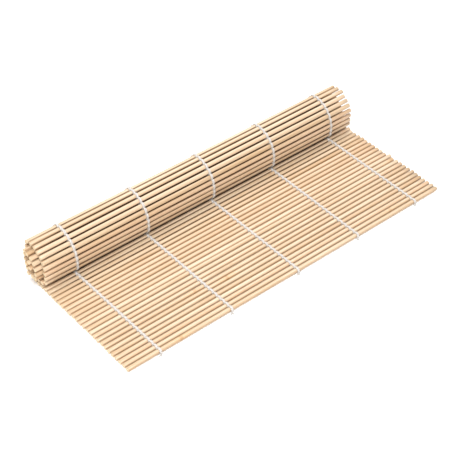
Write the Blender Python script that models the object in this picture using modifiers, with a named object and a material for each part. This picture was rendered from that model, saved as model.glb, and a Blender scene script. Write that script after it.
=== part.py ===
"""A bamboo sushi rolling mat, its front laid flat and the rest wound up into a roll.

Metres, +Z up. X runs along the slats, and Y from the free front edge back to the roll. The mat
lies on the surface Z = 0, and its origin is there, under the middle of its bounding box.
"""
import math

import bmesh
import bpy
import numpy as np
from mathutils import Matrix, Vector

# Every size below is in millimetres or degrees, and this turns millimetres into metres.
MM = 0.001

# The slats: rods of eight sides, at an even pitch along the mat
SLAT_LENGTH = 240.0
SLAT_THICKNESS = 2.7
SLAT_SIDES = 8
SLAT_PITCH = 3.42
# How unevenly their two ends are cut: a normal spread, with the far strays brought in
LEFT_SPREAD = 0.15
RIGHT_SPREAD = 0.45
SPREAD_LIMIT = 2.0
SPREAD_SEED = 7
# How far the right ends of the first slats stand out past the mat's edge
RIGHT_ENDS = (-0.1, 0.3, 0.1, 0.1, 0.1, 0.5, 0.9, 0.6, 0.4, 0.6, 0.4, -0.3,
              0.9, -0.5, -0.2, -0.2, -0.3, -0.2, -0.4, 0.0, -0.2, -0.5, -0.6, 0.5)

# The strings: rows of a pair of flat strands, one on the mat's face and one on its back. The mat
# rests on the strands of its back.
STRING_ROWS = (21.6, 72.2, 122.5, 171.0, 220.3)
STRING_WIDTH = 1.3
STRAND_THICKNESS = 0.4
STRING_CLEARANCE = 0.25
STRAND_OFFSET = SLAT_THICKNESS / 2 + STRING_CLEARANCE + STRAND_THICKNESS / 2
SLAT_HEIGHT = STRAND_OFFSET + STRAND_THICKNESS / 2

# The slats that show are separate. Those wound up inside the outer turn are one solid, which
# starts a little further on, past the strings' loops.
LOOSE_SLATS = 48
LOOP_PITCH = 4.0

# The mat's middle line from its free edge inwards: a straight run, then a bend of this radius
WINDING = (
    # straight, radius, bend
    (89.5, 9.6, 90.0),     # flat on the surface, and up the roll's back
    (12.2, 4.5, 90.0),     # the back, and the top's tight corner
    (0.4, 14.8, 90.0),     # over the top and down the front
    (3.85, 3.4, 90.0),     # the front, tucked in on the flat slats
    (7.0, 5.4, 90.0),      # the second turn's floor and back
    (11.35, 1.5, 90.0),
    (0.0, 10.5, 90.0),
    (1.4, 2.75, 90.0),
    (2.9, 2.4, 90.0),      # the third turn, in the core
    (5.65, 2.0, 90.0),
    (0.0, 2.0, 90.0),
    (2.6, 1.0, 0.0),
)
# The line is followed in steps of this length, and a strand has a corner each time it has turned
# by this angle.
LINE_STEP = 0.02
STRAND_BEND = 10.0

# How far the winding has crept along X: where the left and right ends of some slats stand
CREEP = (
    # slat, left, right
    (1, 0.0, 0.0),
    (26, 0.0, 0.0),
    (32, 1.2, -0.9),
    (40, 0.8, -0.6),
    (46, -0.2, -1.6),
    (52, -2.6, -4.0),
    (60, -3.5, -5.0),
    (68, -4.6, -6.0),
)

MATERIALS = {
    # colour, roughness
    "bamboo": ((0.80, 0.62, 0.38), 0.55),
    "cotton_string": ((0.87, 0.85, 0.80), 0.9),
}


def clear_scene():
    """Removes whatever objects the scene holds."""
    for piece in list(bpy.data.objects):
        bpy.data.objects.remove(piece, do_unlink=True)


def make_collection(name):
    """A new collection in the scene."""
    collection = bpy.data.collections.new(name)
    bpy.context.scene.collection.children.link(collection)
    return collection


def make_material(name):
    """A Principled material with the colour and roughness of the table."""
    colour, roughness = MATERIALS[name]
    material = bpy.data.materials.new(name)
    material.use_nodes = True
    shader = material.node_tree.nodes["Principled BSDF"]
    shader.inputs["Base Color"].default_value = (*colour, 1.0)
    shader.inputs["Roughness"].default_value = roughness
    shader.inputs["Metallic"].default_value = 0.0
    return material


def winding_line():
    """The middle line in small steps: places as (y, z), and the way it heads, in radians."""
    place = np.array([0.0, SLAT_HEIGHT])
    heading = 0.0
    places, headings = [place], [heading]
    for straight, radius, bend in WINDING:
        for _ in range(round(straight / LINE_STEP)):
            place = place + LINE_STEP * np.array([math.cos(heading), math.sin(heading)])
            places.append(place)
            headings.append(heading)
        steps = round(math.radians(bend) * radius / LINE_STEP)
        for _ in range(steps):
            turn = math.radians(bend) / steps
            chord = 2 * radius * math.sin(turn / 2)
            middle = heading + turn / 2
            place = place + chord * np.array([math.cos(middle), math.sin(middle)])
            heading += turn
            places.append(place)
            headings.append(heading)
    return np.array(places), np.array(headings)


def slat_steps(places):
    """The step of the middle line at each slat, a pitch apart as the crow flies."""
    steps = [round(SLAT_PITCH / 2 / LINE_STEP)]
    while True:
        pitch = LOOP_PITCH if len(steps) == LOOSE_SLATS else SLAT_PITCH
        ahead = places[steps[-1]:]
        reached = np.flatnonzero(np.linalg.norm(ahead - ahead[0], axis=1) >= pitch)
        if not len(reached):
            return steps
        steps.append(steps[-1] + int(reached[0]))


def creep_at(slat_numbers):
    """How far the left and right ends have crept at some slats, or between two."""
    slats, left, right = zip(*CREEP)
    return np.interp(slat_numbers, slats, left), np.interp(slat_numbers, slats, right)


def slat_ends(count):
    """The left and right end of each slat along X, unevenly cut and with the winding's creep."""
    chance = np.random.default_rng(SPREAD_SEED)
    strays = chance.standard_normal((2, count)).clip(-SPREAD_LIMIT, SPREAD_LIMIT)
    left = LEFT_SPREAD * strays[0]
    right = SLAT_LENGTH + RIGHT_SPREAD * strays[1]
    right[:len(RIGHT_ENDS)] = SLAT_LENGTH + np.array(RIGHT_ENDS)
    left_creep, right_creep = creep_at(np.arange(1, count + 1))
    return left + left_creep, right + right_creep


def add_slat(mesh, length, placing):
    """Adds a rod of eight sides along X, a flat side down, to a bmesh, and returns its corners."""
    radius = SLAT_THICKNESS / 2 / math.cos(math.pi / SLAT_SIDES)
    flat_side_down = Matrix.Rotation(math.pi / SLAT_SIDES, 4, "X")
    along_x = flat_side_down @ Matrix.Rotation(math.pi / 2, 4, "Y")
    rod = bmesh.ops.create_cone(mesh, cap_ends=True, segments=SLAT_SIDES, radius1=radius * MM,
                                radius2=radius * MM, depth=length * MM, matrix=placing @ along_x)
    return rod["verts"]


def finish_object(mesh, name, material, collection):
    """Makes an object of a bmesh, with its one material."""
    data = bpy.data.meshes.new(name)
    mesh.to_mesh(data)
    mesh.free()
    data.materials.append(material)
    piece = bpy.data.objects.new(name, data)
    collection.objects.link(piece)
    return piece


def make_loose_slat(number, ends, place, heading, material, collection):
    """One slat as its own object, placed on the middle line."""
    mesh = bmesh.new()
    add_slat(mesh, ends[1] - ends[0], Matrix.Identity(4))
    slat = finish_object(mesh, f"slat_{number:02d}", material, collection)
    slat.location = Vector((sum(ends) / 2, place[0], place[1])) * MM
    slat.rotation_euler.x = heading
    return slat


def bend_steps(headings, first, last):
    """The steps between two where a bend starts, ends or has turned by another STRAND_BEND."""
    degrees = np.degrees(headings)
    bending = np.diff(degrees, append=degrees[-1]) > 0
    starts_and_ends = np.flatnonzero(np.diff(bending)) + 1
    turned = np.flatnonzero(np.diff(np.round(degrees, 3) // STRAND_BEND)) + 1
    steps = np.union1d(starts_and_ends, turned)
    return steps[(steps > first) & (steps < last)]


def string_loop(row, places, headings, steps):
    """The closed line of one pair of strands, a list of (x, y, z) in mm.

    It runs along the mat's face to the last loose slat, round it, and along the back to the
    first slat. Each end is four corners of the slat's own outline, widened to the strand.
    """
    loose_steps = steps[:LOOSE_SLATS]
    first, last = loose_steps[0], loose_steps[-1]
    line = bend_steps(headings, first, last)

    def point(step, along, outwards):
        forward = np.array([math.cos(headings[step]), math.sin(headings[step])])
        left = np.array([-forward[1], forward[0]])
        y, z = places[step] + along * forward + outwards * left
        creep = np.mean(creep_at(np.interp(step, loose_steps, np.arange(1, LOOSE_SLATS + 1))))
        return (row + creep - STRING_WIDTH / 2, y, z)

    face = [point(step, 0.0, STRAND_OFFSET) for step in line]
    back = [point(step, 0.0, -STRAND_OFFSET) for step in reversed(line)]
    corner = STRAND_OFFSET * math.tan(math.pi / SLAT_SIDES)
    turn = ((corner, STRAND_OFFSET), (STRAND_OFFSET, corner),
            (STRAND_OFFSET, -corner), (corner, -STRAND_OFFSET))
    round_last = [point(last, along, outwards) for along, outwards in turn]
    round_first = [point(first, -along, -outwards) for along, outwards in turn]
    return face + round_last + back + round_first


def make_string(number, row, places, headings, steps, material, collection):
    """One row's pair of strands: their closed line, swept along X and given its thickness."""
    mesh = bmesh.new()
    points = string_loop(row, places, headings, steps)
    corners = [mesh.verts.new(Vector(point) * MM) for point in points]
    edges = [mesh.edges.new(pair) for pair in zip(corners, corners[1:] + corners[:1])]
    swept = bmesh.ops.extrude_edge_only(mesh, edges=edges)["geom"]
    moved = [item for item in swept if isinstance(item, bmesh.types.BMVert)]
    bmesh.ops.translate(mesh, verts=moved, vec=(STRING_WIDTH * MM, 0.0, 0.0))
    string = finish_object(mesh, f"string_{number}", material, collection)
    wall = string.modifiers.new("thickness", "SOLIDIFY")
    wall.thickness = STRAND_THICKNESS * MM
    wall.offset = 0.0
    wall.use_even_offset = True
    return string


def facing_side(corners, way):
    """The side of a rod that looks most along a way, (y, z)."""
    sides = {side for corner in corners for side in corner.link_faces}
    return max(sides, key=lambda side: side.normal.dot(Vector((0.0, *way))))


def make_inner_slats(places, headings, steps, lefts, rights, material, collection):
    """The wound-up inner turns as one solid: their slats, each bridged to the next one's side."""
    mesh = bmesh.new()
    last = len(steps) - 1
    ahead = None
    for index in range(LOOSE_SLATS, len(steps)):
        place = places[steps[index]]
        middle = Vector(((lefts[index] + rights[index]) / 2, *place)) * MM
        placing = Matrix.Translation(middle) @ Matrix.Rotation(headings[steps[index]], 4, "X")
        corners = add_slat(mesh, rights[index] - lefts[index], placing)
        mesh.normal_update()
        next_ahead = facing_side(corners, places[steps[index + 1]] - place) if index < last else None
        if ahead:
            behind = facing_side(corners, places[steps[index - 1]] - place)
            rims = [*ahead.edges, *behind.edges]
            bmesh.ops.delete(mesh, geom=[ahead, behind], context="FACES_ONLY")
            bmesh.ops.bridge_loops(mesh, edges=rims)
        ahead = next_ahead
    bmesh.ops.recalc_face_normals(mesh, faces=mesh.faces)
    return finish_object(mesh, "inner_slats", material, collection)


def stand_on_origin(collection):
    """Parents everything to an empty, which brings the bounding box's bottom middle to the origin."""
    bpy.context.view_layer.update()
    graph = bpy.context.evaluated_depsgraph_get()
    corners = []
    for piece in collection.objects:
        shaped = piece.evaluated_get(graph)
        corners += [shaped.matrix_world @ Vector(corner) for corner in shaped.bound_box]
    low = np.min(corners, axis=0)
    high = np.max(corners, axis=0)
    frame = bpy.data.objects.new("mat_frame", None)
    frame.location = (-(low[0] + high[0]) / 2, -(low[1] + high[1]) / 2, -low[2])
    for piece in collection.objects:
        piece.parent = frame
    collection.objects.link(frame)


def build():
    clear_scene()
    collection = make_collection("sushi_rolling_mat")
    materials = {name: make_material(name) for name in MATERIALS}
    places, headings = winding_line()
    steps = slat_steps(places)
    lefts, rights = slat_ends(len(steps))
    for index in range(LOOSE_SLATS):
        make_loose_slat(index + 1, (lefts[index], rights[index]), places[steps[index]],
                        headings[steps[index]], materials["bamboo"], collection)
    make_inner_slats(places, headings, steps, lefts, rights, materials["bamboo"], collection)
    for number, row in enumerate(STRING_ROWS, start=1):
        make_string(number, row, places, headings, steps, materials["cotton_string"], collection)
    stand_on_origin(collection)


build()
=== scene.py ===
"""A bamboo sushi rolling mat, part unrolled: how its slats and strings look.

The slats' places come from the frame's own solids. Lengths are in metres, as in the frame, unless
a name ends in _MM.
"""
import math

import bpy
import numpy as np
from mathutils import Matrix, Vector


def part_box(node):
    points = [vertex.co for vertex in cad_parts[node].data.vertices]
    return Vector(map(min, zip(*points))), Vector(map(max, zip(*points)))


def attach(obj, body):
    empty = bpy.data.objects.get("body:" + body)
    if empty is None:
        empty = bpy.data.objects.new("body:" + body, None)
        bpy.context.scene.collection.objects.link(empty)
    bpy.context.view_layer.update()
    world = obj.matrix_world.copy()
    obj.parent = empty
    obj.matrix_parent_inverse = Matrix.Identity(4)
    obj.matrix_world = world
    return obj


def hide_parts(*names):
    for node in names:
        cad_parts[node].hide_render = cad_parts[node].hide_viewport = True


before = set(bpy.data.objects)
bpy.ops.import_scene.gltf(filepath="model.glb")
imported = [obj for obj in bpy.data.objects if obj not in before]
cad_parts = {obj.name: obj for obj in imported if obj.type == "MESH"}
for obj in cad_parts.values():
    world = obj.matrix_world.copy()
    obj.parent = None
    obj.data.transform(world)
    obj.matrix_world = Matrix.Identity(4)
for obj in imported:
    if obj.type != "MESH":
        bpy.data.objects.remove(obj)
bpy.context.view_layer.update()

MM = 0.001
LOOSE_SLATS = 48
SLAT_COUNT = 66

# The slats
SLAT_HALF_WIDTH_MM = 1.37    # along the mat
SLAT_HALF_DEPTH_MM = 1.22    # through the mat
SLAT_SQUARENESS = 2.45       # the section's exponent: 2 is an ellipse, and more has flatter faces
SLAT_LEAN = 0.16             # how far a slat is turned about its own line, in radians
SLAT_SPREAD = 0.03           # how much one slat's thickness differs from another's, as a share
SLAT_SWELL = 0.022           # and how much it differs along one slat
SLAT_BOW_MM = 0.08           # how far a slat strays from a straight line
SLAT_RINGS = 37
SLAT_SIDES = 24
CUT_CHAMFER_MM = 0.07
CUT_SLANT = 0.05
JOINT_SWELL_MM = 0.05        # the low ring at a bamboo joint
JOINT_WIDTH_MM = 1.6
JOINT_SHARE = 0.3            # the share of slats with a joint in them
SLAT_LENGTH_MM = 240.0
SLAT_SEED = 1000             # a slat's random numbers start from this plus its number
SLAT_GLOSS = 0.5
INNER_GLOSS = 0.08
INNER_ENDS_SEED = 5
INNER_ENDS_SPREAD_MM = 0.25  # how unevenly the inner slats are cut
INNER_ENDS_LIMIT_MM = 0.5

# The deep shade in the gaps between slats. Each pair is where it begins and where it is full
SHADE_FROM_END_MM = (7.0, 20.0)
SHADE_INWARD = (-0.55, 0.0)    # on the outer turn's slats, as the sine of the angle round a slat
SHADE_SIDEWAYS = (0.80, 0.97)  # on the slats by the roll's foot, as that angle's cosine
OUTER_TURN_DEGREES = 100.0     # the heading from which the mat is the roll's outer turn
FOOT_SLATS = (19, 22, 26, 29)  # it grows between the first two, and fades between the last two

# The middle line of the mat from its free edge inwards: a straight run, then a bend of 90 degrees
FIRST_SLAT_MM = 1.72         # from the free edge to the middle of the first slat
FIRST_RIGHT_END_MM = 239.9
SLAT_HEIGHT_MM = 2.0
SLAT_PITCH_MM = 3.42
LOOP_PITCH_MM = 4.0
WINDING_MM = (
    # straight, radius
    (89.5, 9.6), (12.2, 4.5), (0.4, 14.8), (3.85, 3.4), (7.0, 5.4), (11.35, 1.5), (0.0, 10.5),
    (1.4, 2.75), (2.9, 2.4), (5.65, 2.0), (0.0, 2.0), (2.6, 1.0),
)
LINE_STEP_MM = 0.02
# How far the inner slats' ends have crept along X: slat, left, right
CREEP_MM = ((48, -0.9, -2.4), (52, -2.6, -4.0), (60, -3.5, -5.0), (66, -4.3, -5.7))

# The strings
# Where each row of string stands along X at some slats: slat, then a place for each row
STRING_ROWS_MM = (
    (1, 21.8, 72.4, 122.6, 170.7, 219.8),
    (23, 21.3, 73.0, 122.9, 171.8, 221.1),
    (48, 21.6, 72.6, 122.8, 171.4, 220.6),
)
STITCH_RISE_MM = 1.60        # from a slat's middle to the middle of the strand that crosses it
STITCH_FULLNESS = 0.7        # the crossing's exponent: 1 is half a circle, and less is squarer
STITCH_SWAY_MM = 0.19        # how far a strand swings to each side as the two twine
STRAND_WIDTH_MM = 1.64
STRAND_THICKNESS_MM = 0.66
STITCH_STEPS = 12
STRAND_SIDES = 10
PLY_TWIST_MM = 1.3
PLY_RIDGE = 0.07             # how high the plies stand on a strand, as a share of its half width
KNOT_RADIUS_MM = 0.63
KNOT_STRAND_MM = 0.63
KNOT_PLACE_MM = (-0.25, -0.35, -0.75)  # from the front of the first slat, at half its height
TAIL_MM = 2.2
TAIL_WIDTH_MM = 0.6
TAIL_THICKNESS_MM = 0.5
TAIL_LOWEST_MM = 0.3
TAIL_WAYS = ((-0.75, -0.35, -0.15), (-0.2, -0.8, -0.1))

# The camera, in the mat's own frame: X along the slats from their left ends, Y from the free edge
CAMERA_AZIMUTH = math.radians(-40.17)
CAMERA_ELEVATION = math.radians(41.69)
CAMERA_ROLL = math.radians(0.515)
CAMERA_DISTANCE_MM = 763.83
CAMERA_TARGET_MM = (115.87, 54.585, 0.5)
CAMERA_LENS = 98.82
SENSOR_WIDTH = 36.0

# The studio, in metres and watts
FLOOR_HALF_WIDTH = 6.0
FLOOR_WHITE = 0.93
FLOOR_GLOW = 0.16
WORLD_STRENGTH = 0.42
LAMPS = (
    # name, place, target, size, power
    ("key", (-0.3, -0.46, 1.0), (0.0, 0.0, 0.0), 0.5, 11.0),
    ("back_right", (0.62, 0.45, 1.05), (0.0, 0.0, 0.0), 0.6, 10.4),
    ("left_fill", (-0.85, -0.3, 0.7), (-0.1, 0.0, 0.0), 0.5, 4.5),
)


class Socket:
    """An output socket that works in Python expressions: each operator adds its Math node."""

    def __init__(self, shader, link):
        self.shader = shader
        self.link = link

    def maths(self, operation, *values):
        return self.shader.node("ShaderNodeMath", {"operation": operation},
                                dict(enumerate((self, *values))))["Value"]

    def __add__(self, other):
        return self.maths("ADD", other)

    def __radd__(self, other):
        return self.maths("ADD", other)

    def __mul__(self, other):
        return self.maths("MULTIPLY", other)

    def __sub__(self, other):
        return self.maths("SUBTRACT", other)

    def __rsub__(self, other):
        return self.shader.node("ShaderNodeMath", {"operation": "SUBTRACT"},
                                {0: other, 1: self})["Value"]

    def __truediv__(self, other):
        return self.maths("DIVIDE", other)

    def sine(self):
        return self.maths("SINE")

    def size(self):
        return self.maths("ABSOLUTE")

    def ramp(self, low, high):
        """0 at and below low, 1 at and above high, and smooth between."""
        return self.shader.node("ShaderNodeMapRange", {"interpolation_type": "SMOOTHSTEP"},
                                {"Value": self, "From Min": low, "From Max": high})["Result"]


class Shader:
    """A new material and its nodes."""

    def __init__(self, name):
        self.material = bpy.data.materials.new(name)
        self.material.use_nodes = True
        self.nodes = self.material.node_tree.nodes
        self.links = self.material.node_tree.links
        self.principled = self.nodes["Principled BSDF"]

    def node(self, kind, settings=None, inputs=None):
        """Adds a node, sets it up, feeds its inputs, and returns its outputs by name."""
        made = self.nodes.new(kind)
        for name, value in (settings or {}).items():
            setattr(made, name, value)
        for key, value in (inputs or {}).items():
            self.feed(made.inputs[key], value)
        return {out.name: Socket(self, out) for out in made.outputs if out.enabled}

    def feed(self, socket, value):
        if isinstance(value, Socket):
            self.links.new(value.link, socket)
        else:
            socket.default_value = value

    def surface(self, **inputs):
        """Feeds the Principled node, whose sockets are named with _ for a space."""
        for name, value in inputs.items():
            self.feed(self.principled.inputs[name.replace("_", " ")], value)

    def place(self):
        return self.node("ShaderNodeTexCoord")["Object"]

    def attribute(self, name):
        return self.node("ShaderNodeAttribute", {"attribute_name": name})["Fac"]

    def split(self, vector):
        parts = self.node("ShaderNodeSeparateXYZ", inputs={"Vector": vector})
        return parts["X"], parts["Y"], parts["Z"]

    def join(self, x, y, z):
        return self.node("ShaderNodeCombineXYZ", inputs={"X": x, "Y": y, "Z": z})["Vector"]

    def noise(self, vector, scale, detail=2.0, roughness=0.5):
        return self.node("ShaderNodeTexNoise", {"noise_dimensions": "3D"},
                         {"Vector": vector, "Scale": scale, "Detail": detail,
                          "Roughness": roughness})["Fac"]

    def mix(self, amount, first, second):
        """A colour between two."""
        made = self.nodes.new("ShaderNodeMix")
        made.data_type = "RGBA"
        self.feed(made.inputs[0], amount)
        self.feed(made.inputs[6], first)
        self.feed(made.inputs[7], second)
        return Socket(self, made.outputs[2])

    def bump(self, height, distance, strength):
        return self.node("ShaderNodeBump", inputs={"Height": height, "Distance": distance,
                                                   "Strength": strength})["Normal"]


def bamboo_material(name, gloss):
    """Pale bamboo: slats of different tone, long fine fibres, joints, flecks, cut ends, and painted
    shade on the slats' sides and in the gaps.
    """
    shader = Shader(name)
    x, y, z = shader.split(shader.place())
    tone = shader.attribute("slat_tone")
    blush = shader.attribute("slat_blush")
    chance = shader.attribute("slat_chance")
    joint_at = shader.attribute("joint_at")
    joint = shader.attribute("joint_depth")
    shifted = x + chance * 3.0
    drift = shader.noise(shader.join(shifted * 14.0, y * 40.0, z * 40.0), 1.0, 2.0)
    streaks = shader.noise(shader.join(shifted * 45.0, y * 1500.0, z * 1500.0), 1.0, 3.0, 0.6)
    fibres = shader.noise(shader.join(shifted * 160.0, y * 5200.0, z * 5200.0), 1.0, 2.0, 0.6)
    flecks = shader.noise(shader.join(shifted * 260.0, y * 1100.0, z * 1100.0), 1.0, 1.0)

    depth = tone * 0.42 + (drift - 0.5) * 0.8 + (streaks - 0.5) * 0.55 + 0.28
    colour = shader.mix(depth.ramp(-0.1, 1.1),
                        (0.672, 0.55, 0.402, 1.0), (0.465, 0.287, 0.139, 1.0))
    colour = shader.mix(blush * 0.45, colour, (0.62, 0.39, 0.235, 1.0))
    colour = shader.mix(fibres.ramp(0.56, 0.80) * 0.30, colour, (0.40, 0.22, 0.09, 1.0))
    colour = shader.mix(flecks.ramp(0.70, 0.82) * 0.45, colour, (0.47, 0.24, 0.09, 1.0))
    reach = (x - joint_at).size() / (JOINT_WIDTH_MM * MM)
    ring = (1.0 - reach.ramp(0.25, 1.0)) * joint
    stain = (1.0 - reach.ramp(0.5, 7.0)) * joint
    colour = shader.mix(stain * 0.28, colour, (0.72, 0.42, 0.17, 1.0))
    colour = shader.mix(ring * 0.62, colour, (0.42, 0.22, 0.085, 1.0))
    # painted shade: the slats' sides, where they face the next slats, are darker and redder
    side = shader.attribute("slat_side").ramp(0.86, 0.99)
    colour = shader.mix(side * 0.42, colour, (0.24, 0.10, 0.03, 1.0))
    shade = shader.attribute("slat_shade")
    colour = shader.mix(shade * 0.88, colour, (0.075, 0.026, 0.006, 1.0))

    facing = shader.split(shader.node("ShaderNodeTexCoord")["Normal"])[0].size()
    cut = facing.ramp(0.75, 0.95)
    pores = shader.noise(shader.join(chance, y * 3600.0, z * 3600.0), 1.0, 1.0)
    end_grain = shader.mix(pores.ramp(0.50, 0.66) * 0.75, (0.70, 0.57, 0.38, 1.0),
                           (0.38, 0.21, 0.09, 1.0))
    colour = shader.mix(cut, colour, end_grain)

    height = fibres * 0.6 + streaks * 0.8 - ring * 0.4
    shader.surface(Base_Color=colour, Roughness=0.28 + streaks * 0.16 + (cut + shade) * 0.4,
                   Normal=shader.bump(height, 0.00007, 0.7))
    shader.principled.inputs["Specular IOR Level"].default_value = gloss
    return shader.material


def cotton_material():
    """White cotton strand: plies that wind round it, with painted shade in the dips between them.
    """
    shader = Shader("cotton_strings")
    along = shader.attribute("strand_along")
    around = shader.attribute("strand_around")
    x, y, z = shader.split(shader.place())
    ply = ((along / (PLY_TWIST_MM * MM) + around * 2.0) * (2.0 * math.pi)).sine()
    fuzz = shader.noise(shader.join(x, y, z), 5200.0, 3.0, 0.6)
    shade = shader.noise(shader.join(x, y, z), 260.0, 2.0)
    # painted shade: the strand is darker where the plies dip
    colour = shader.mix(ply.ramp(-1.0, 0.4), (0.43, 0.40, 0.37, 1.0), (0.635, 0.60, 0.57, 1.0))
    colour = shader.mix(shade.ramp(0.45, 0.75) * 0.20, colour, (0.48, 0.44, 0.39, 1.0))
    colour = shader.mix(fuzz.ramp(0.55, 0.8) * 0.25, colour, (0.68, 0.655, 0.63, 1.0))
    shader.surface(Base_Color=colour, Roughness=0.86 + fuzz * 0.1,
                   Normal=shader.bump(ply * 0.5 + fuzz * 0.6, 0.00010, 0.9))
    shader.principled.inputs["Sheen Weight"].default_value = 0.15
    shader.principled.inputs["Specular IOR Level"].default_value = 0.2
    return shader.material


def grid_faces(rows, columns, start):
    """The four corners of each face of a tube of rings, whose first point has the index start."""
    row, column = np.meshgrid(np.arange(rows - 1), np.arange(columns), indexing="ij")
    after = (column + 1) % columns
    corners = np.stack([row * columns + column, row * columns + after,
                        (row + 1) * columns + after, (row + 1) * columns + column], axis=-1)
    return corners.reshape(-1, 4) + start


def fan_faces(ring_start, columns, pole, outwards):
    """Triangles from a ring to a pole, turned the way that the end faces."""
    column = np.arange(columns)
    after = (column + 1) % columns
    first, second = (after, column) if outwards else (column, after)
    return np.stack([ring_start + first, ring_start + second, np.full(columns, pole)], axis=-1)


def make_piece(name, tubes, material, nodes, flat_cuts=False):
    """One piece of closed tubes. A tube is (rings, two poles, attributes by name).

    The rings are an array of rows by columns by 3. Each attribute is an array of rows by columns,
    and at a pole it is its end ring's mean. flat_cuts leaves the ends' faces unsmoothed.
    """
    points, quads, fans, values = [], [], [], {}
    start = 0
    for rings, poles, attributes in tubes:
        rows, columns = rings.shape[:2]
        points += [rings.reshape(-1, 3), np.array(poles)]
        quads.append(grid_faces(rows, columns, start))
        first_pole = start + rows * columns
        fans.append(fan_faces(start, columns, first_pole, True))
        fans.append(fan_faces(first_pole - columns, columns, first_pole + 1, False))
        for key, value in attributes.items():
            ends = [value[0].mean(), value[-1].mean()]
            values.setdefault(key, []).append(np.concatenate([value.ravel(), ends]))
        start = first_pole + 2
    mesh = bpy.data.meshes.new(name)
    faces = [face for part in (*quads, *fans) for face in part.tolist()]
    mesh.from_pydata(np.concatenate(points), [], faces)
    for key, value in values.items():
        layer = mesh.attributes.new(key, "FLOAT", "POINT")
        layer.data.foreach_set("value", np.concatenate(value).astype(np.float32))
    mesh.materials.append(material)
    mesh.update()
    normals = np.empty(len(faces) * 3)
    mesh.polygons.foreach_get("normal", normals)
    cut = np.abs(normals[::3]) > 0.9
    mesh.polygons.foreach_set("use_smooth", ~(cut & flat_cuts))
    piece = bpy.data.objects.new(name, mesh)
    bpy.context.scene.collection.objects.link(piece)
    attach(piece, "root")
    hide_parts(*nodes)


def slat_tube(number, left, right, y, z, heading):
    """The rings of one slat, from its left end to its right.

    A ring is a superellipse, a rectangle with full round corners, whose width lies along the
    mat's heading. Its size is the slat's own, which swells and thins along it in two slow waves
    and rises by a bell at a joint. The ring's middle strays from the straight line by half a wave
    and a whole one. The end rings step in to the cut, which leans by CUT_SLANT. slat_side is the
    share of the half width that a point stands away from the slat's middle. slat_shade is 1
    away from the ends on an inner slat, on the side of the outer turn's slats that faces into the
    roll, and on both sides of the slats by the roll's foot, and it fades from there. Those are the
    faces that the gaps between the slats show, and it paints them in deep shade.
    """
    chance = np.random.default_rng(SLAT_SEED + number)
    along = np.linspace(0.0, 1.0, SLAT_RINGS)
    chamfer = CUT_CHAMFER_MM * MM / (right - left)
    along = np.concatenate([[0.0, 0.0, 0.0], along * (1 - 2 * chamfer) + chamfer, [1.0] * 3])
    step_in = np.concatenate([[0.35, 0.75, 0.95], np.ones(SLAT_RINGS), [0.95, 0.75, 0.35]])
    angle = np.linspace(0.0, 2 * math.pi, SLAT_SIDES, endpoint=False)
    thickness = 1.0 + SLAT_SPREAD * chance.uniform(-1, 1)
    waves = chance.uniform(0, 2 * math.pi, 6)  # four are used: the others keep the later draws
    swell = np.sin(along * 5.1 + waves[0]) + 0.6 * np.sin(along * 13.7 + waves[1])
    swell *= SLAT_SWELL / 1.6
    x = left + (right - left) * along
    has_joint = chance.random() < JOINT_SHARE
    joint_at = chance.uniform(left, right)
    joint = np.exp(-((x - joint_at) / (JOINT_WIDTH_MM * MM)) ** 2) * JOINT_SWELL_MM * has_joint
    reach = (np.abs(np.cos(angle)) ** SLAT_SQUARENESS
             + np.abs(np.sin(angle)) ** SLAT_SQUARENESS) ** (-1 / SLAT_SQUARENESS)
    size = (thickness * (1 + swell) * step_in)[:, None]
    wide = (SLAT_HALF_WIDTH_MM * size + joint[:, None]) * reach * np.cos(angle) * MM
    deep = (SLAT_HALF_DEPTH_MM * size + joint[:, None]) * reach * np.sin(angle) * MM
    turned = heading + SLAT_LEAN * chance.uniform(-1, 1)
    bow = SLAT_BOW_MM * MM * chance.normal(0, 0.6, 4).clip(-1, 1)
    half_wave = np.sin(along * math.pi)
    whole_wave = np.sin(along * 2 * math.pi + waves[3])
    middle_y = y + bow[0] * half_wave + bow[1] * whole_wave
    middle_z = z + 0.5 * (bow[2] * half_wave + bow[3] * whole_wave)
    lean = np.zeros_like(along)
    lean[:3] = chance.uniform(-1, 1) * CUT_SLANT
    lean[-3:] = chance.uniform(-1, 1) * CUT_SLANT
    rings = np.stack([
        x[:, None] + lean[:, None] * (wide * np.cos(waves[4]) + deep * np.sin(waves[4])),
        middle_y[:, None] + wide * math.cos(turned) - deep * math.sin(turned),
        middle_z[:, None] + wide * math.sin(turned) + deep * math.cos(turned),
    ], axis=-1)
    poles = [rings[0].mean(axis=0), rings[-1].mean(axis=0)]
    from_end = np.minimum(x - left, right - x) / MM
    if number > LOOSE_SLATS:
        shaded = np.ones(SLAT_SIDES)
    elif heading > math.radians(OUTER_TURN_DEGREES):
        shaded = np.interp(np.sin(angle), SHADE_INWARD, (0.0, 1.0))
    else:
        shaded = (np.interp(number, FOOT_SLATS, (0.0, 1.0, 1.0, 0.0))
                  * np.interp(np.abs(np.cos(angle)), SHADE_SIDEWAYS, (0.0, 1.0)))
    shade = np.interp(from_end, SHADE_FROM_END_MM, (0.0, 1.0))[:, None] * shaded
    tone, blush = chance.beta(1.6, 1.9), chance.random() ** 2.5
    flat = np.ones(rings.shape[:2])
    return rings, poles, {
        # slat_side is the mask by which the bamboo paints shade on the slats' sides
        "slat_side": flat * np.abs(reach * np.cos(angle)),
        "slat_shade": shade,
        "slat_tone": flat * tone, "slat_blush": flat * blush, "slat_chance": flat * chance.random(),
        "joint_at": flat * joint_at, "joint_depth": flat * has_joint * chance.uniform(0.4, 1.0),
    }


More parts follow.
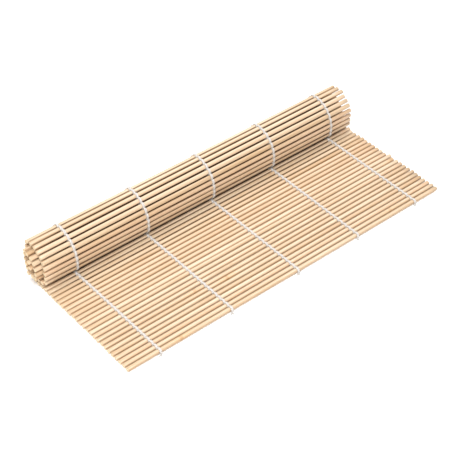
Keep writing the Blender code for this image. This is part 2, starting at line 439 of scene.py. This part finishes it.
def tube_along(path, width, thickness, ridge_height=0.0):
    """The rings of a strand along a path: ellipses, wide along the slats, square to the path.

    The strand's wide axis is X less its share along the path, or Z where the path runs along X.
    The other axis is square to both. ridge_height makes two low ridges that wind round the strand
    once in PLY_TWIST_MM.
    """
    way = np.gradient(path, axis=0)
    way /= np.linalg.norm(way, axis=1, keepdims=True)
    across = np.array([1.0, 0.0, 0.0]) - way * way[:, :1]
    lost = np.linalg.norm(across, axis=1) < 0.3
    across[lost] = np.array([0.0, 0.0, 1.0]) - way[lost] * way[lost][:, 2:]
    across /= np.linalg.norm(across, axis=1, keepdims=True)
    up = np.cross(across, way)
    steps = np.linalg.norm(np.diff(path, axis=0), axis=1)
    run = np.concatenate([[0.0], np.cumsum(steps)])
    angle = np.linspace(0.0, 2 * math.pi, STRAND_SIDES, endpoint=False)
    twist = 2 * math.pi * run[:, None] / (PLY_TWIST_MM * MM)
    ridge = 1.0 + ridge_height * np.cos(2 * angle[None, :] + twist)
    rings = (path[:, None, :]
             + across[:, None, :] * (np.cos(angle) * width / 2 * ridge)[..., None]
             + up[:, None, :] * (np.sin(angle) * thickness / 2 * ridge)[..., None])
    poles = [rings[0].mean(axis=0) - way[0] * thickness * 0.3,
             rings[-1].mean(axis=0) + way[-1] * thickness * 0.3]
    around = np.tile(np.abs(angle / math.pi - 1.0), (len(path), 1))
    along = np.repeat(run[:, None], STRAND_SIDES, axis=1)
    return rings, poles, {"strand_along": along, "strand_around": around}


def winding_line():
    """The middle line of the mat in small steps: (y, z) and heading, from WINDING_MM."""
    turns = []
    for straight, radius in WINDING_MM:
        turns += [0.0] * round(straight / LINE_STEP_MM)
        steps = round(math.pi / 2 * radius / LINE_STEP_MM)
        turns += [math.pi / 2 / steps] * steps
    headings = np.concatenate([[0.0], np.cumsum(turns)])
    middle = (headings[1:] + headings[:-1]) / 2
    strides = LINE_STEP_MM * np.stack([np.cos(middle), np.sin(middle)], axis=1)
    start = np.array([[0.0, SLAT_HEIGHT_MM]])
    return np.concatenate([start, start + np.cumsum(strides, axis=0)]), headings


def slat_steps(places):
    """The step of the middle line at each slat, a pitch apart as the crow flies."""
    steps = [round(FIRST_SLAT_MM / LINE_STEP_MM)]
    while len(steps) < SLAT_COUNT:
        pitch = LOOP_PITCH_MM if len(steps) == LOOSE_SLATS else SLAT_PITCH_MM
        reached = np.linalg.norm(places[steps[-1]:] - places[steps[-1]], axis=1) >= pitch
        steps.append(steps[-1] + int(np.argmax(reached)))
    return np.array(steps)


def make_slats(origin, places, headings, steps):
    """A piece for each loose slat in its solid's place, and one of the wound-up inner slats."""
    material = bamboo_material("bamboo_slats", SLAT_GLOSS)
    inner_material = bamboo_material("bamboo_inner_slats", INNER_GLOSS)
    for number in range(1, LOOSE_SLATS + 1):
        node = f"slat_{number:02d}"
        low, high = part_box(node)
        tube = slat_tube(number, low.x, high.x, (low.y + high.y) / 2, (low.z + high.z) / 2,
                         headings[steps[number - 1]])
        make_piece(f"bamboo_{node}", [tube], material, [node], flat_cuts=True)
    slats, left, right = np.array(CREEP_MM).T
    chance = np.random.default_rng(INNER_ENDS_SEED)
    tubes = []
    for number in range(LOOSE_SLATS + 1, SLAT_COUNT + 1):
        y, z = origin[1:] + places[steps[number - 1]] * MM
        ends = [origin[0] + np.interp(number, slats, left) * MM,
                origin[0] + (SLAT_LENGTH_MM + np.interp(number, slats, right)) * MM]
        strays = chance.normal(0, INNER_ENDS_SPREAD_MM, 2)
        ends += strays.clip(-INNER_ENDS_LIMIT_MM, INNER_ENDS_LIMIT_MM) * MM
        tubes.append(slat_tube(number, *ends, y, z, headings[steps[number - 1]]))
    make_piece("bamboo_inner_slats", tubes, inner_material, ["inner_slats"],
               flat_cuts=True)


def row_at(row, number):
    """A row of string's place along X at slats counted from 0, in metres from the left ends."""
    slats, *rows = zip(*STRING_ROWS_MM)
    return np.interp(number + 1, slats, rows[row]) * MM


def twined_strand(row, side, origin, places, headings, steps):
    """The path of one of a row's two strands, from the first slat to the last.

    It crosses each slat in a squarish arch, over one and under the next, and swings from one side
    of the row to the other on the way. The other strand does the opposite, so that the two twine.
    """
    crossing = np.linspace(0.0, SLAT_COUNT, SLAT_COUNT * STITCH_STEPS + 1)
    slat = np.minimum(np.floor(crossing), SLAT_COUNT - 1)
    turn = (crossing - slat) * math.pi
    number = slat - 0.5 + (1 - np.cos(turn)) / 2
    step = np.interp(number, np.arange(SLAT_COUNT), steps)
    step = step + (number.clip(max=0) * SLAT_PITCH_MM / LINE_STEP_MM)
    over = np.where(slat % 2 == side, 1.0, -1.0)
    rise = over * np.sin(turn).clip(0.0) ** STITCH_FULLNESS * STITCH_RISE_MM
    sway = (1.0 if side else -1.0) * np.cos(crossing * math.pi) * STITCH_SWAY_MM
    line = np.arange(len(places))
    heading = np.interp(step, line, headings)
    y = np.interp(step, line, places[:, 0]) - np.sin(heading) * rise
    z = np.interp(step, line, places[:, 1]) + np.cos(heading) * rise
    x = origin[0] + row_at(row, number) + sway * MM
    return np.stack([x, origin[1] + y * MM, origin[2] + z * MM], axis=1)


def knot_path(middle, radius):
    """A small trefoil: it goes twice round its middle and winds three times on the way."""
    turn = np.linspace(0.0, 2 * math.pi, 40, endpoint=False)
    ring = 1.0 + 0.42 * np.cos(3 * turn)
    return middle + radius * np.stack([np.sin(3 * turn) * 0.55, ring * np.cos(2 * turn) * 0.8,
                                       ring * np.sin(2 * turn) * 0.8], axis=1)


def tail_path(start, way, length):
    """A short tail along way, which droops with the square of the distance."""
    run = np.linspace(0.0, 1.0, 8)[:, None]
    droop = np.array([0.0, 0.0, -1.0]) * length * 0.45 * run ** 2
    return np.array(start) + np.array(way) * length * run + droop


def make_strings(material, origin, places, headings, steps):
    """Each row's two twined strands, with a knot and two short tails at the free edge."""
    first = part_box("slat_01")
    for row in range(len(STRING_ROWS_MM[0]) - 1):
        node = f"string_{row + 1}"
        tubes = []
        for side in (0, 1):
            path = twined_strand(row, side, origin, places, headings, steps)
            tubes.append(tube_along(path, STRAND_WIDTH_MM * MM, STRAND_THICKNESS_MM * MM,
                                    PLY_RIDGE))
        front = Vector((origin[0] + row_at(row, 0), first[0].y, (first[0].z + first[1].z) / 2))
        knot = np.array(front + Vector(KNOT_PLACE_MM) * MM)
        tubes.append(tube_along(knot_path(knot, KNOT_RADIUS_MM * MM),
                                KNOT_STRAND_MM * MM, KNOT_STRAND_MM * MM))
        for way in TAIL_WAYS:
            tail = tail_path(knot, way, TAIL_MM * MM)
            tail[:, 2] = tail[:, 2].clip(TAIL_LOWEST_MM * MM)
            tubes.append(tube_along(tail, TAIL_WIDTH_MM * MM, TAIL_THICKNESS_MM * MM))
        make_piece(f"twined_{node}", tubes, material, [node])


def make_camera(origin):
    camera = bpy.data.objects.new("camera", bpy.data.cameras.new("camera"))
    camera.data.lens = CAMERA_LENS
    camera.data.sensor_width = SENSOR_WIDTH
    turned = (Matrix.Rotation(CAMERA_AZIMUTH, 4, "Z")
              @ Matrix.Rotation(math.pi / 2 - CAMERA_ELEVATION, 4, "X")
              @ Matrix.Rotation(CAMERA_ROLL, 4, "Z"))
    target = Vector(origin) + Vector(CAMERA_TARGET_MM) * MM
    away = turned @ Vector((0.0, 0.0, CAMERA_DISTANCE_MM * MM))
    camera.matrix_world = Matrix.Translation(target + away) @ turned
    camera.data.clip_start = 0.01
    bpy.context.scene.collection.objects.link(camera)
    bpy.context.scene.camera = camera


def make_lamp(name, place, target, size, power):
    lamp = bpy.data.objects.new(name, bpy.data.lights.new(name, "AREA"))
    lamp.data.shape = "DISK"
    lamp.data.size = size
    lamp.data.energy = power
    lamp.location = place
    lamp.rotation_euler = (Vector(target) - Vector(place)).to_track_quat("-Z", "Y").to_euler()
    bpy.context.scene.collection.objects.link(lamp)


def make_studio():
    """A white, softly glowing floor under soft light from all round and three broad lamps."""
    shader = Shader("studio_floor")
    shader.surface(Base_Color=(FLOOR_WHITE, FLOOR_WHITE, FLOOR_WHITE, 1.0), Roughness=0.9,
                   Emission_Color=(1.0, 1.0, 1.0, 1.0), Emission_Strength=FLOOR_GLOW)
    mesh = bpy.data.meshes.new("studio_floor")
    half = FLOOR_HALF_WIDTH
    mesh.from_pydata([(-half, -half, 0), (half, -half, 0), (half, half, 0), (-half, half, 0)], [],
                     [(0, 1, 2, 3)])
    mesh.materials.append(shader.material)
    floor = bpy.data.objects.new("studio_floor", mesh)
    bpy.context.scene.collection.objects.link(floor)
    world = bpy.data.worlds.new("studio")
    world.use_nodes = True
    background = world.node_tree.nodes["Background"]
    background.inputs["Color"].default_value = (1.0, 1.0, 1.0, 1.0)
    background.inputs["Strength"].default_value = WORLD_STRENGTH
    bpy.context.scene.world = world
    for lamp in LAMPS:
        make_lamp(*lamp)
    bpy.context.scene.view_settings.view_transform = "Standard"


def main():
    first_low, first_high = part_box("slat_01")
    origin = np.array([first_high.x - FIRST_RIGHT_END_MM * MM,
                       (first_low.y + first_high.y) / 2 - FIRST_SLAT_MM * MM,
                       (first_low.z + first_high.z) / 2 - SLAT_HEIGHT_MM * MM])
    make_camera(origin)
    make_studio()
    places, headings = winding_line()
    steps = slat_steps(places)
    make_slats(origin, places, headings, steps)
    make_strings(cotton_material(), origin, places, headings, steps)


main()
